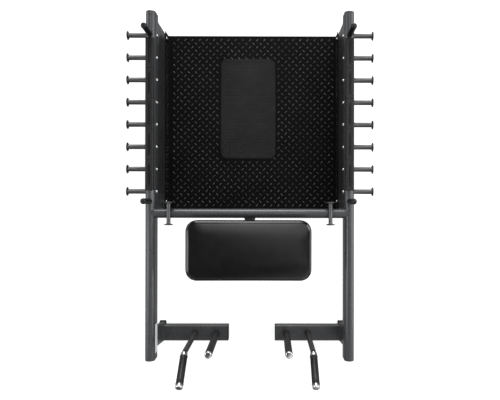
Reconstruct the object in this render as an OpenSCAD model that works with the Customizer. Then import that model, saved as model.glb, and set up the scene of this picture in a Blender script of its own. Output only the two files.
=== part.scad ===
// Floor-standing hip-thrust platform: two side rails on legs, a checkered foot platform with a ribbed mat,
// band pegs, a bar rest on each rail, a crossbar with a tilting back pad, and two foot beams with handles.
// Units are millimetres. X runs across, +Y points to the foot-platform end, Z is up from the floor.

/* [Rails] */
// Width of the flat-oval rail tube
rail_w = 50; // [40:1:60]
// Height of the flat-oval rail tube
rail_h = 100; // [80:1:120]
// Length of a rail over its end caps
rail_len = 1773; // [1600:1:1900]
// Distance between the two rail centre lines
rail_spacing = 1010; // [900:1:1100]
// Height of the rail top above the floor
rail_top = 370; // [340:1:420]
// Wall of the rail tube
rail_wall = 2.5; // [2:0.5:4]
// Thickness of a rail end cap
rail_cap_t = 5; // [3:1:8]

/* [Legs] */
// Thickness of a leg across the machine
leg_t = 44; // [36:1:48]
// Wall of the hollow legs
leg_wall = 3; // [2:0.5:5]
// Height of the rubber foot under a leg
foot_h = 12; // [8:1:20]
// Front leg: distance of its front edge from the rail front
front_leg_y = 30; // [20:1:50]
// Front leg: depth of the upright part
front_leg_d = 40; // [30:1:60]
// Front leg: radius of the gusset curve
gusset_r = 76; // [50:1:90]
// Middle leg: distance of its front edge from the rail front
mid_leg_y = 919; // [880:1:950]
// Middle leg: depth
mid_leg_d = 91; // [60:1:100]
// Middle leg: radius of the upright corners
mid_leg_r = 8; // [4:1:12]
// Rear leg: distance of its upper front corner from the rail front
rear_leg_top_y = 1612; // [1580:1:1640]
// Rear leg: depth at the rail
rear_leg_top_d = 121; // [90:1:130]
// Rear leg: distance of its lower front edge from the rail front
rear_leg_low_y = 1655; // [1620:1:1680]
// Rear leg: depth at the floor
rear_leg_low_d = 100; // [80:1:110]
// Rear leg: distance of its inner face behind that of the other legs
rear_leg_set = 14; // [0:1:16]

/* [Platform] */
// Distance of the platform front edge from the rail front
plat_y = 18; // [10:1:40]
// Length of the platform
plat_len = 994; // [900:1:1040]
// Height of the platform surface above the floor
plat_top = 25; // [20:1:40]
// Sheet thickness of the platform
plat_t = 4; // [3:0.5:6]
// Height of the platform side flanges above the floor
flange_top = 105; // [80:1:130]
// Bend radius outside the platform folds
fold_r = 8; // [6:1:12]
// Thickness of the side skirts
skirt_t = 2.5; // [1.5:0.5:4]
// Height of the skirt lower edge
skirt_low = 92; // [80:1:100]
// Width of the mat
mat_w = 315; // [250:1:400]
// Length of the mat
mat_len = 570; // [450:1:700]
// Corner radius of the mat
mat_r = 35; // [20:1:50]
// Thickness of the mat
mat_t = 4; // [3:0.5:8]
// Distance of the mat centre from the rail front
mat_y = 437; // [400:1:500]
// Distance of the mat centre to the left of the middle
mat_x = 24; // [0:1:40]
// Height of the platform bolts
plat_bolt_z = 84; // [60:1:90]

/* [Band pegs] */
// Number of pegs on each rail
peg_n = 8; // [4:1:8]
// Distance of the first peg from the rail front
peg_first = 113.5; // [100:0.5:120]
// Spacing of the pegs
peg_pitch = 114.5; // [105:0.5:115]
// Height of the peg axes
peg_z = 320; // [300:1:335]
// Radius of a peg
peg_r = 12; // [8:0.5:14]
// Length of a peg out of the rail
peg_len = 102; // [80:1:120]
// Radius of the peg end flange
peg_flange_r = 22.5; // [18:0.5:28]
// Thickness of the peg end flange
peg_flange_t = 6; // [4:0.5:8]

/* [Bar rest strips] */
// Number of strips on each rail
strip_n = 5; // [3:1:5]
// Distance of the first strip from the rail front
strip_y = 140; // [138:1:150]
// Length of one strip with its gap
strip_pitch = 154.2; // [140:0.1:154.5]
// Gap between two strips
strip_gap = 1; // [0.5:0.5:3]
// Width of a strip
strip_w = 42; // [36:1:46]
// Height of a strip over the rail top
strip_h = 10; // [6:1:15]
// Distance of a strip screw from the strip end
strip_screw_y = 21; // [15:1:30]

/* [Stop posts] */
// Distance of the front posts from the rail front
post_front_y = 122; // [115:1:123]
// Distance of the rear posts from the rail front
post_rear_y = 965; // [930:1:980]
// Height of a post over the rail top
post_h = 133; // [110:1:160]
// Radius of the rubber sleeve on a post
post_r = 14.5; // [12:0.5:16]
// Radius of the steel core of a post
post_core_r = 8; // [6:0.5:10]

/* [Crossbar and anchors] */
// Distance of the crossbar from the rail front
bar_y = 1026; // [1020:1:1030]
// Height of the crossbar axis
bar_z = 345; // [340:1:346]
// Radius of the crossbar
bar_r = 24.15; // [21:0.05:24.5]
// Wall of the crossbar
bar_wall = 2.5; // [2:0.5:4]
// Distance of a band anchor from the middle
anchor_x = 407; // [380:1:420]
// Length of a band anchor
anchor_len = 118; // [100:1:130]
// Radius of the anchor rod
anchor_r = 10; // [8:0.5:12]
// Radius of the anchor flanges
anchor_flange_r = 22; // [16:0.5:26]
// Thickness of the anchor flanges
anchor_flange_t = 5; // [4:0.5:8]

/* [Back pad] */
// Width of the cushion
pad_w = 619; // [560:1:640]
// Depth of the cushion
pad_d = 295; // [260:1:300]
// Corner radius of the cushion
pad_r = 63; // [40:1:80]
// Thickness of the cushion
pad_t = 50; // [40:1:60]
// Height of the cushion top
pad_top = 455; // [440:1:470]
// Distance of the pad centre from the rail front
pad_y = 1204.5; // [1200:0.5:1215]
// Thickness of the board under the cushion
board_t = 15; // [12:1:18]
// Width of the support arm
arm_w = 53; // [45:1:60]
// Depth of the support arm section
arm_h = 28; // [20:1:35]
// Height of the support arm top
arm_top = 348; // [340:1:350]
// Length of the support arm behind the pivot
arm_tail = 78; // [70:1:90]
// Height of the pad pivot
pivot_z = 362; // [360:1:366]
// Radius of the pivot pin
pin_r = 8; // [6:0.5:10]
// Distance of a rubber buffer from the pivot
buffer_y = 58; // [50:1:64]
// Radius of a rubber buffer
buffer_r = 12; // [8:1:14]
// Height of a rubber buffer
buffer_h = 26; // [15:1:26]

/* [Foot beams] */
// Distance of the beam centre from the rail front
beam_y = 1709; // [1700:1:1712]
// Width of the beam tube
beam_w = 88; // [70:1:90]
// Height of the beam tube
beam_h = 50; // [40:1:60]
// Height of the beam underside
beam_low = 15; // [12:1:25]
// Corner radius of the beam tube
beam_r = 8; // [5:1:15]
// Wall of the beam tube
beam_wall = 3; // [2:0.5:4]
// Distance of the beam inner end from the middle
beam_end_x = 131; // [100:1:160]
// Thickness of a beam end cap
beam_cap_t = 5; // [3:1:8]

/* [Handles] */
// Radius of the handle bars
hand_r = 13.5; // [10:0.5:15]
// Distance of the outer handles from the middle
hand_out_x = 317; // [290:1:340]
// Distance of the inner handles from the middle
hand_in_x = 196; // [170:1:220]
// Height of the bend in the outer handles
bend_z = 430; // [400:1:450]
// Slope of the outer grips away from upright, in degrees
bend_deg = 39; // [30:1:50]
// Length of the sloping end with its end cap
slope_len = 192; // [180:1:220]
// Height of the inner handle over its end cap
hand_in_top = 476; // [450:1:500]
// Radius of a rubber grip
grip_r = 19.4; // [17:0.1:21]
// Length of a handle end cap
end_cap_l = 20; // [14:1:26]
// Radius of a handle end cap
end_cap_r = 17.5; // [15:0.5:19]
// Length of the bright collar under an outer grip
collar_l = 14; // [10:1:18]
// Radius of the bright collars
collar_r = 17; // [15:0.5:19]

/* [Label] */
// Length of the blank label plate
label_len = 148; // [100:1:160]
// Height of the blank label plate
label_h = 44; // [30:1:48]
// Distance of the label plate from the rail front
label_y = 1592; // [1580:1:1600]
// Thickness of the label plate
label_t = 0.8; // [0.5:0.1:1.5]

/* [Hidden] */
$fn = 64;
eps = 1;
rail_x = rail_spacing / 2;
rail_in = rail_x - rail_w / 2;
rail_out = rail_x + rail_w / 2;
rail_zc = rail_top - rail_h / 2;
leg_in = rail_x - leg_t / 2;
leg_out = rail_x + leg_t / 2;
rear_leg_in = leg_in + rear_leg_set;
leg_top = rail_zc;
slope_run = slope_len * sin(bend_deg) + end_cap_r * cos(bend_deg);
hand_set = 1;
overall_y = beam_y - hand_set + slope_run;
y_front = overall_y / 2;
fit = 0.05;
hole_gap = 0.2;
bolt_r = 5;
head_r = 9;
head_t = 5;
bolt_len = 72;
bolt_hole_spare = 3;
plat_bolt_len = 26;
plat_bolt_ys = [front_leg_y + front_leg_d / 2, mid_leg_y + mid_leg_d / 2];
anchor_sink = 2.5;
screw_r = 2;
screw_head_r = 4.2;
screw_head_t = 3;
screw_sink = 4;
screw_len = 20;
plug_len = 12;
plug_gap = 0.2;
leg_plug = 10;
rear_hollow_rise = 0.5;
gusset_drop = 2;
foot_edge = 4;
foot_r = 6;
rib_w = 40;
rib_gap = 6;
rib_x = 940;
rib_ys = [60, 515, 970];
rib_pad_x = 430;
rib_pad_r = 19;
beam_top = beam_low + beam_h;
beam_foot_x = beam_end_x + 40;
beam_foot = [40, 72];
hand_y = beam_y - hand_set;
base_ring_r = 21;
base_ring_h = 6;
grip_gap = 6;
grip_clear = 1;
cap_socket = 12;
base_z = beam_top;
arm_wall = 3;
arm_hollow_ahead = 60;
board_low = pad_top - pad_t - board_t;
board_edge = 7;
plate_t = 4;
plate_x = 120;
plate_y = 90;
ear_t = 6;
ear_r = 15;
ear_gap = 0.5;
sleeve_r = 16;
sleeve_w = 50;
bush_wall = 2.45;
bush_len = 20;
bush_flange_r = 14;
bush_flange_t = 2;
ear_in = sleeve_w / 2 + bush_flange_t + ear_gap;
clip_t = 2.5;
clip_r = 11;
pin_end = 3;
pin_half = ear_in + ear_t + clip_t + pin_end;
pad_screw_x = 48;
pad_screw_y = 32;
pad_screw_r = 4;
pad_screw_head_r = 7;
pad_screw_head_t = 5;
pad_screw_len = 14;
strip_low = 24;
strip_edge_r = 5;
post_sink = 20;
post_top_t = 6;
post_core_low = 35;

steel_grey = [0.30, 0.31, 0.33];
black = [0.06, 0.06, 0.065];
rubber = [0.08, 0.08, 0.085];
bright = [0.80, 0.81, 0.83];
pale = [0.82, 0.82, 0.83];

// Y position of a point a given distance behind the rail front
function yf(d) = y_front - d;

// Distances of the strip screws from the rail front
function screw_ys() = [
  for (i = [0 : strip_n - 1])
    for (e = [strip_screw_y, strip_pitch - strip_gap - strip_screw_y])
      strip_y + i * strip_pitch + e
];

// Flat-oval outline, upright
module flat_oval(w, h) {
  square([w, h - w], center = true);
  for (s = [-1, 1])
    translate([0, s * (h - w) / 2])
      circle(d = w);
}

// Rectangle with round corners
module round_rect(w, h, r) {
  square([w, h - 2 * r], center = true);
  square([w - 2 * r, h], center = true);
  for (sx = [-1, 1])
    for (sy = [-1, 1])
      translate([sx * (w / 2 - r), sy * (h / 2 - r)])
        circle(r = r);
}

// Extrude an outline drawn in X and Z from y0 to y1
module along_y(y0, y1) {
  translate([0, y1, 0])
    rotate([90, 0, 0])
      linear_extrude(y1 - y0)
        children();
}

// Extrude an outline drawn in Y and Z from x0 to x1
module along_x(x0, x1) {
  translate([x0, 0, 0])
    rotate([90, 0, 90])
      linear_extrude(x1 - x0)
        children();
}

// Round bar along X
module bar_x(x0, x1, y, z, r) {
  translate([x0, y, z])
    rotate([0, 90, 0])
      cylinder(r = r, h = x1 - x0);
}

// Round bar along Y
module bar_y(x, y0, y1, z, r) {
  translate([x, y0, z])
    rotate([-90, 0, 0])
      cylinder(r = r, h = y1 - y0);
}

// Place a right-hand piece on the right (s = 1) or mirrored on the left (s = -1)
module side(s) {
  if (s > 0)
    children();
  else
    mirror([1, 0, 0])
      children();
}

// Rail outline filled solid, over its whole length
module rail_solid() {
  along_y(yf(rail_len) - eps, yf(0) + eps)
    translate([rail_x, rail_zc])
      flat_oval(rail_w, rail_h);
}

module rail(s) {
  color(steel_grey)
    side(s)
      difference() {
        along_y(yf(rail_len - rail_cap_t), yf(rail_cap_t))
          translate([rail_x, rail_zc])
            difference() {
              flat_oval(rail_w, rail_h);
              flat_oval(rail_w - 2 * rail_wall, rail_h - 2 * rail_wall);
            }
        for (i = [0 : peg_n - 1])
          bar_x(rail_in - eps, rail_out + eps, yf(peg_first + i * peg_pitch), peg_z, bolt_r + hole_gap);
        for (d = [post_front_y, post_rear_y])
          translate([rail_x, yf(d), rail_top - 2 * rail_wall])
            cylinder(r = post_core_r + fit, h = 3 * rail_wall);
        for (d = screw_ys())
          translate([rail_x, yf(d), rail_top - 2 * rail_wall])
            cylinder(r = screw_r + hole_gap, h = 3 * rail_wall);
      }
}

module rail_end_caps() {
  color(steel_grey)
    for (s = [-1, 1])
      side(s)
        translate([rail_x, 0, rail_zc]) {
          along_y(yf(rail_cap_t), yf(0))
            flat_oval(rail_w, rail_h);
          along_y(yf(rail_cap_t + plug_len), yf(rail_cap_t))
            flat_oval(rail_w - 2 * rail_wall - 2 * plug_gap, rail_h - 2 * rail_wall - 2 * plug_gap);
          along_y(yf(rail_len), yf(rail_len - rail_cap_t))
            flat_oval(rail_w, rail_h);
          along_y(yf(rail_len - rail_cap_t), yf(rail_len - rail_cap_t - plug_len))
            flat_oval(rail_w - 2 * rail_wall - 2 * plug_gap, rail_h - 2 * rail_wall - 2 * plug_gap);
        }
}

// Side view of the front leg with its gusset
module front_leg_outline() {
  gusset_low = rail_top - rail_h - gusset_drop - gusset_r;
  leg_rear = front_leg_y + front_leg_d;
  translate([yf(leg_rear), foot_h])
    square([front_leg_d, leg_top - foot_h]);
  difference() {
    translate([yf(leg_rear + gusset_r), gusset_low])
      square([gusset_r + eps, leg_top - gusset_low]);
    translate([yf(leg_rear + gusset_r), gusset_low])
      circle(r = gusset_r);
  }
}

module front_leg(s) {
  color(steel_grey)
    side(s)
      difference() {
        along_x(leg_in, leg_out)
          front_leg_outline();
        rail_solid();
        translate([leg_in + leg_wall, yf(front_leg_y + front_leg_d - leg_wall), foot_h - eps])
          cube([leg_t - 2 * leg_wall, front_leg_d - 2 * leg_wall, rail_top - rail_h - foot_h - leg_plug]);
        bar_x(leg_in - eps, leg_in + leg_wall + eps, yf(plat_bolt_ys[0]), plat_bolt_z, bolt_r + hole_gap);
      }
}

module mid_leg(s) {
  color(steel_grey)
    side(s)
      difference() {
        translate([rail_x, yf(mid_leg_y + mid_leg_d / 2), foot_h])
          linear_extrude(leg_top - foot_h)
            round_rect(leg_t, mid_leg_d, mid_leg_r);
        rail_solid();
        translate([rail_x, yf(mid_leg_y + mid_leg_d / 2), foot_h - eps])
          linear_extrude(rail_top - rail_h - foot_h - leg_plug)
            round_rect(leg_t - 2 * leg_wall, mid_leg_d - 2 * leg_wall, mid_leg_r - leg_wall);
        bar_x(leg_in - eps, leg_in + leg_wall + eps, yf(plat_bolt_ys[1]), plat_bolt_z, bolt_r + hole_gap);
      }
}

// Side view of the rear leg, drawn smaller by t for its hollow
module rear_leg_outline(t, low, high) {
  rail_low = rail_top - rail_h;
  polygon([
    [yf(rear_leg_low_y + t), low],
    [yf(rear_leg_low_y + t), beam_top],
    [yf(rear_leg_top_y + t), rail_low - t],
    [yf(rear_leg_top_y + t), high],
    [yf(rear_leg_top_y + rear_leg_top_d - t), high],
    [yf(rear_leg_top_y + rear_leg_top_d - t), rail_low - t],
    [yf(rear_leg_low_y + rear_leg_low_d - t), beam_top],
    [yf(rear_leg_low_y + rear_leg_low_d - t), low]
  ]);
}

module rear_leg(s) {
  color(steel_grey)
    side(s)
      difference() {
        along_x(rear_leg_in, leg_out)
          rear_leg_outline(0, foot_h, leg_top);
        rail_solid();
        along_x(rear_leg_in + leg_wall, leg_out - leg_wall)
          rear_leg_outline(leg_wall, foot_h - eps, rail_top - rail_h - leg_wall + rear_hollow_rise);
      }
}

module skirt(s) {
  color(black)
    side(s)
      difference() {
        translate([leg_in, yf(mid_leg_y + mid_leg_r), skirt_low])
          cube([skirt_t, mid_leg_y + mid_leg_r - front_leg_y - front_leg_d, rail_zc - skirt_low]);
        rail_solid();
        along_x(leg_in - eps, leg_out)
          front_leg_outline();
        translate([rail_x, yf(mid_leg_y + mid_leg_d / 2), 0])
          linear_extrude(leg_top + eps)
            round_rect(leg_t, mid_leg_d, mid_leg_r);
      }
}

// Folded outline of the platform, with its two side flanges
module platform_outline() {
  inner = leg_in - plat_t;
  low = plat_top - plat_t;
  difference() {
    union() {
      translate([-leg_in, low + fold_r])
        square([2 * leg_in, flange_top - low - fold_r]);
      translate([-leg_in + fold_r, low])
        square([2 * (leg_in - fold_r), fold_r + eps]);
      for (s = [-1, 1])
        translate([s * (leg_in - fold_r), low + fold_r])
          circle(r = fold_r);
    }
    translate([-inner, low + fold_r])
      square([2 * inner, flange_top]);
    translate([-leg_in + fold_r, plat_top])
      square([2 * (leg_in - fold_r), fold_r]);
    for (s = [-1, 1])
      translate([s * (leg_in - fold_r), low + fold_r])
        circle(r = fold_r - plat_t);
  }
}

module platform() {
  color(black)
    difference() {
      along_y(yf(plat_y + plat_len), yf(plat_y))
        platform_outline();
      for (s = [-1, 1])
        for (d = plat_bolt_ys)
          side(s)
            bar_x(leg_in - plat_t - eps, leg_in + eps, yf(d), plat_bolt_z, bolt_r + hole_gap);
    }
}

module platform_ribs() {
  color(black)
    for (d = rib_ys)
      translate([-rib_x / 2, yf(d) - rib_w / 2, rib_gap])
        cube([rib_x, rib_w, plat_top - plat_t - rib_gap]);
}

module platform_pads() {
  color(rubber)
    for (d = rib_ys)
      for (s = [-1, 1])
        translate([s * rib_pad_x, yf(d), 0])
          cylinder(r = rib_pad_r, h = rib_gap);
}

module tread_mat() {
  color(rubber)
    translate([-mat_x, yf(mat_y), plat_top])
      linear_extrude(mat_t)
        round_rect(mat_w, mat_len, mat_r);
}

module platform_bolts() {
  color(bright)
    for (s = [-1, 1])
      for (d = plat_bolt_ys)
        side(s) {
          bar_x(leg_in - plat_t - head_t, leg_in - plat_t, yf(d), plat_bolt_z, head_r);
          bar_x(leg_in - plat_t, leg_in - plat_t + plat_bolt_len, yf(d), plat_bolt_z, bolt_r);
        }
}

module crossbar() {
  color(steel_grey)
    difference() {
      bar_x(-rail_x, rail_x, yf(bar_y), bar_z, bar_r);
      bar_x(-rail_x - eps, rail_x + eps, yf(bar_y), bar_z, bar_r - bar_wall);
      for (s = [-1, 1])
        side(s)
          rail_solid();
    }
}

module band_anchor(s) {
  z = bar_z + bar_r + anchor_r - anchor_sink;
  half = anchor_len / 2;
  color(bright)
    side(s)
      difference() {
        union() {
          bar_y(anchor_x, yf(bar_y) - half, yf(bar_y) + half, z, anchor_r);
          bar_y(anchor_x, yf(bar_y) - half, yf(bar_y) - half + anchor_flange_t, z, anchor_flange_r);
          bar_y(anchor_x, yf(bar_y) + half - anchor_flange_t, yf(bar_y) + half, z, anchor_flange_r);
        }
        bar_x(anchor_x - 2 * anchor_r, anchor_x + 2 * anchor_r, yf(bar_y), bar_z, bar_r);
      }
}

module foot_beam(s) {
  color(steel_grey)
    side(s)
      along_x(beam_end_x + beam_cap_t, rear_leg_in)
        translate([yf(beam_y), beam_low + beam_h / 2])
          difference() {
            round_rect(beam_w, beam_h, beam_r);
            round_rect(beam_w - 2 * beam_wall, beam_h - 2 * beam_wall, beam_r - beam_wall);
          }
}

module beam_end_caps() {
  inset = 2 * beam_wall + 2 * plug_gap;
  color(black)
    for (s = [-1, 1])
      side(s) {
        along_x(beam_end_x, beam_end_x + beam_cap_t)
          translate([yf(beam_y), beam_low + beam_h / 2])
            round_rect(beam_w, beam_h, beam_r);
        along_x(beam_end_x + beam_cap_t, beam_end_x + beam_cap_t + plug_len)
          translate([yf(beam_y), beam_low + beam_h / 2])
            round_rect(beam_w - inset, beam_h - inset, beam_r - beam_wall);
      }
}

// Local frame of the sloping end of an outer handle, with its length along Z
module on_slope() {
  translate([hand_out_x, yf(hand_y), bend_z])
    rotate([bend_deg, 0, 0])
      children();
}

module outer_handle(s) {
  color(black)
    side(s) {
      translate([hand_out_x, yf(hand_y), base_z])
        cylinder(r = hand_r, h = bend_z - base_z);
      translate([hand_out_x, yf(hand_y), bend_z])
        sphere(r = hand_r);
      on_slope()
        cylinder(r = hand_r, h = slope_len - end_cap_l + cap_socket);
    }
}

module inner_handle(s) {
  color(bright)
    side(s)
      translate([hand_in_x, yf(hand_y), base_z])
        cylinder(r = hand_r, h = hand_in_top - end_cap_l + cap_socket - base_z);
}

// Sleeve of rubber over a handle bar, along Z
module grip_tube(h) {
  difference() {
    cylinder(r = grip_r, h = h);
    translate([0, 0, -eps])
      cylinder(r = hand_r + fit, h = h + 2 * eps);
  }
}

module outer_grip(s) {
  start = grip_gap + collar_l + grip_clear;
  color(rubber)
    side(s)
      on_slope()
        translate([0, 0, start])
          grip_tube(slope_len - end_cap_l - start);
}

module inner_grip(s) {
  color(rubber)
    side(s)
      translate([hand_in_x, yf(hand_y), base_z + base_ring_h + grip_clear])
        grip_tube(hand_in_top - end_cap_l - base_z - base_ring_h - grip_clear);
}

// Bright ring around a handle bar, along Z
module ring(r, h) {
  difference() {
    cylinder(r = r, h = h);
    translate([0, 0, -eps])
      cylinder(r = hand_r + fit, h = h + 2 * eps);
  }
}

module handle_base_rings() {
  color(bright)
    for (x = [-hand_out_x, -hand_in_x, hand_in_x, hand_out_x])
      translate([x, yf(hand_y), base_z])
        ring(base_ring_r, base_ring_h);
}

module grip_collars() {
  color(bright)
    for (s = [-1, 1])
      side(s)
        on_slope()
          translate([0, 0, grip_gap])
            ring(collar_r, collar_l);
}

// End cap with a socket for the handle bar, along Z
module end_cap() {
  difference() {
    cylinder(r = end_cap_r, h = end_cap_l);
    translate([0, 0, -eps])
      cylinder(r = hand_r + fit, h = cap_socket + eps);
  }
}

module handle_end_caps() {
  color(bright)
    for (s = [-1, 1])
      side(s) {
        on_slope()
          translate([0, 0, slope_len - end_cap_l])
            end_cap();
        translate([hand_in_x, yf(hand_y), hand_in_top - end_cap_l])
          end_cap();
      }
}

module band_pegs(s) {
  color(bright)
    side(s)
      for (i = [0 : peg_n - 1])
        difference() {
          union() {
            bar_x(rail_out, rail_out + peg_len, yf(peg_first + i * peg_pitch), peg_z, peg_r);
            bar_x(rail_out + peg_len - peg_flange_t, rail_out + peg_len,
              yf(peg_first + i * peg_pitch), peg_z, peg_flange_r);
          }
          bar_x(rail_out - eps, rail_in + bolt_len + bolt_hole_spare,
            yf(peg_first + i * peg_pitch), peg_z, bolt_r + hole_gap);
        }
}

module peg_bolts() {
  color(bright)
    for (s = [-1, 1])
      side(s)
        for (i = [0 : peg_n - 1]) {
          bar_x(rail_in - head_t, rail_in, yf(peg_first + i * peg_pitch), peg_z, head_r);
          bar_x(rail_in, rail_in + bolt_len, yf(peg_first + i * peg_pitch), peg_z, bolt_r);
        }
}

module rail_strips(s) {
  color(black)
    side(s)
      difference() {
        for (i = [0 : strip_n - 1])
          along_y(yf(strip_y + (i + 1) * strip_pitch - strip_gap), yf(strip_y + i * strip_pitch))
            translate([rail_x, rail_top + strip_h - strip_low / 2])
              round_rect(strip_w, strip_low, strip_edge_r);
        rail_solid();
        for (d = screw_ys())
          translate([rail_x, yf(d), rail_top - eps]) {
            cylinder(r = screw_r + hole_gap, h = strip_h + 2 * eps);
            translate([0, 0, strip_h + eps - screw_sink])
              cylinder(r = screw_head_r + hole_gap, h = screw_sink + eps);
          }
      }
}

module strip_screws() {
  color(black)
    for (s = [-1, 1])
      side(s)
        for (d = screw_ys())
          translate([rail_x, yf(d), rail_top + strip_h - screw_sink]) {
            cylinder(r = screw_head_r, h = screw_head_t);
            translate([0, 0, -screw_len])
              cylinder(r = screw_r, h = screw_len);
          }
}

module post_cores() {
  color(steel_grey)
    for (s = [-1, 1])
      side(s)
        for (d = [post_front_y, post_rear_y])
          translate([rail_x, yf(d), rail_top - post_core_low])
            cylinder(r = post_core_r, h = post_core_low + post_h - post_top_t);
}

module post_sleeves() {
  color(rubber)
    for (s = [-1, 1])
      side(s)
        for (d = [post_front_y, post_rear_y])
          difference() {
            translate([rail_x, yf(d), rail_top - post_sink])
              cylinder(r = post_r, h = post_sink + post_h);
            rail_solid();
            translate([rail_x, yf(d), rail_top - post_sink - eps])
              cylinder(r = post_core_r + fit, h = post_sink + post_h - post_top_t + eps);
          }
}

module rubber_feet() {
  color(rubber)
    for (s = [-1, 1])
      side(s) {
        translate([rail_x, yf(front_leg_y + front_leg_d / 2), 0])
          linear_extrude(foot_h)
            round_rect(leg_t + 2 * foot_edge, front_leg_d + 2 * foot_edge, foot_r);
        translate([rail_x, yf(mid_leg_y + mid_leg_d / 2), 0])
          linear_extrude(foot_h)
            round_rect(leg_t + 2 * foot_edge, mid_leg_d + 2 * foot_edge, foot_r);
        translate([rail_x + rear_leg_set / 2, yf(rear_leg_low_y + rear_leg_low_d / 2), 0])
          linear_extrude(foot_h)
            round_rect(leg_t - rear_leg_set + 2 * foot_edge, rear_leg_low_d + 2 * foot_edge, foot_r);
        translate([beam_foot_x, yf(beam_y), 0])
          linear_extrude(beam_low)
            round_rect(beam_foot[0], beam_foot[1], foot_r);
      }
}

module label_plate() {
  color(pale)
    translate([-rail_in, yf(label_y + label_len), rail_zc - label_h / 2])
      cube([label_t, label_len, label_h]);
}

module pad_support_arm() {
  front = yf(bar_y + bar_r / 2);
  rear = yf(pad_y + arm_tail);
  color(black)
    difference() {
      translate([-arm_w / 2, rear, arm_top - arm_h])
        cube([arm_w, front - rear, arm_h]);
      translate([-arm_w / 2 + arm_wall, rear - eps, arm_top - arm_h + arm_wall])
        cube([arm_w - 2 * arm_wall, arm_tail + arm_hollow_ahead, arm_h - 2 * arm_wall]);
      bar_x(-arm_w, arm_w, yf(bar_y), bar_z, bar_r);
      bar_x(-arm_w, arm_w, yf(pad_y), pivot_z, sleeve_r);
    }
}

module pivot_sleeve() {
  color(black)
    difference() {
      bar_x(-sleeve_w / 2, sleeve_w / 2, yf(pad_y), pivot_z, sleeve_r);
      bar_x(-sleeve_w, sleeve_w, yf(pad_y), pivot_z, pin_r + fit + bush_wall);
    }
}

module pivot_bushes() {
  half = sleeve_w / 2;
  color(pale)
    for (s = [-1, 1])
      side(s)
        difference() {
          union() {
            bar_x(half - bush_len, half, yf(pad_y), pivot_z, pin_r + fit + bush_wall);
            bar_x(half, half + bush_flange_t, yf(pad_y), pivot_z, bush_flange_r);
          }
          bar_x(0, sleeve_w, yf(pad_y), pivot_z, pin_r + fit);
        }
}

module pad_buffers() {
  color(rubber)
    for (s = [-1, 1])
      translate([0, yf(pad_y) + s * buffer_y, arm_top])
        cylinder(r = buffer_r, h = buffer_h);
}

module pad_bracket() {
  plate_low = board_low - plate_t;
  color(black)
    difference() {
      union() {
        translate([-plate_x / 2, yf(pad_y) - plate_y / 2, plate_low])
          cube([plate_x, plate_y, plate_t]);
        for (s = [-1, 1])
          side(s)
            along_x(ear_in, ear_in + ear_t) {
              translate([yf(pad_y), pivot_z])
                circle(r = ear_r);
              translate([yf(pad_y) - ear_r, pivot_z])
                square([2 * ear_r, plate_low - pivot_z + eps]);
            }
      }
      bar_x(-plate_x, plate_x, yf(pad_y), pivot_z, pin_r);
      for (sx = [-1, 1])
        for (sy = [-1, 1])
          translate([sx * pad_screw_x, yf(pad_y) + sy * pad_screw_y, plate_low - eps])
            cylinder(r = pad_screw_r + hole_gap, h = plate_t + 2 * eps);
    }
}

module pivot_pin() {
  color(bright)
    bar_x(-pin_half, pin_half, yf(pad_y), pivot_z, pin_r);
}

module pin_clips() {
  color(bright)
    for (s = [-1, 1])
      side(s)
        difference() {
          bar_x(ear_in + ear_t, ear_in + ear_t + clip_t, yf(pad_y), pivot_z, clip_r);
          bar_x(0, plate_x, yf(pad_y), pivot_z, pin_r + fit);
        }
}

module pad_board() {
  color([0.55, 0.42, 0.28])
    difference() {
      translate([0, yf(pad_y), board_low])
        linear_extrude(board_t)
          round_rect(pad_w - 2 * board_edge, pad_d - 2 * board_edge, pad_r - board_edge);
      for (sx = [-1, 1])
        for (sy = [-1, 1])
          translate([sx * pad_screw_x, yf(pad_y) + sy * pad_screw_y, board_low - eps])
            cylinder(r = pad_screw_r + hole_gap, h = pad_screw_len - plate_t + 2 * eps);
    }
}

module pad_cushion() {
  color(black)
    translate([0, yf(pad_y), pad_top - pad_t])
      linear_extrude(pad_t)
        round_rect(pad_w, pad_d, pad_r);
}

module pad_screws() {
  plate_low = board_low - plate_t;
  color(bright)
    for (sx = [-1, 1])
      for (sy = [-1, 1])
        translate([sx * pad_screw_x, yf(pad_y) + sy * pad_screw_y, plate_low]) {
          translate([0, 0, -pad_screw_head_t])
            cylinder(r = pad_screw_head_r, h = pad_screw_head_t);
          cylinder(r = pad_screw_r, h = pad_screw_len);
        }
}

rail(-1);  // left_rail
rail(1);  // right_rail
rail_end_caps();
front_leg(-1);  // left_front_leg
front_leg(1);  // right_front_leg
mid_leg(-1);  // left_mid_leg
mid_leg(1);  // right_mid_leg
rear_leg(-1);  // left_rear_leg
rear_leg(1);  // right_rear_leg
skirt(-1);  // left_skirt
skirt(1);  // right_skirt
platform();
platform_ribs();
platform_pads();
tread_mat();
platform_bolts();
crossbar();
band_anchor(-1);  // left_band_anchor
band_anchor(1);  // right_band_anchor
foot_beam(-1);  // left_foot_beam
foot_beam(1);  // right_foot_beam
beam_end_caps();
outer_handle(-1);  // left_outer_handle
outer_handle(1);  // right_outer_handle
inner_handle(-1);  // left_inner_handle
inner_handle(1);  // right_inner_handle
outer_grip(-1);  // left_outer_grip
outer_grip(1);  // right_outer_grip
inner_grip(-1);  // left_inner_grip
inner_grip(1);  // right_inner_grip
handle_base_rings();
grip_collars();
handle_end_caps();
band_pegs(-1);  // left_band_pegs
band_pegs(1);  // right_band_pegs
peg_bolts();
rail_strips(-1);  // left_rail_strips
rail_strips(1);  // right_rail_strips
strip_screws();
post_cores();
post_sleeves();
rubber_feet();
label_plate();
pad_support_arm();
pivot_sleeve();
pivot_bushes();
pad_buffers();
pad_bracket();
pivot_pin();
pin_clips();
pad_board();
pad_cushion();
pad_screws();
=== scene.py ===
import math

import bpy
import bmesh
import numpy as np
from mathutils import Matrix, Vector


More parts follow.
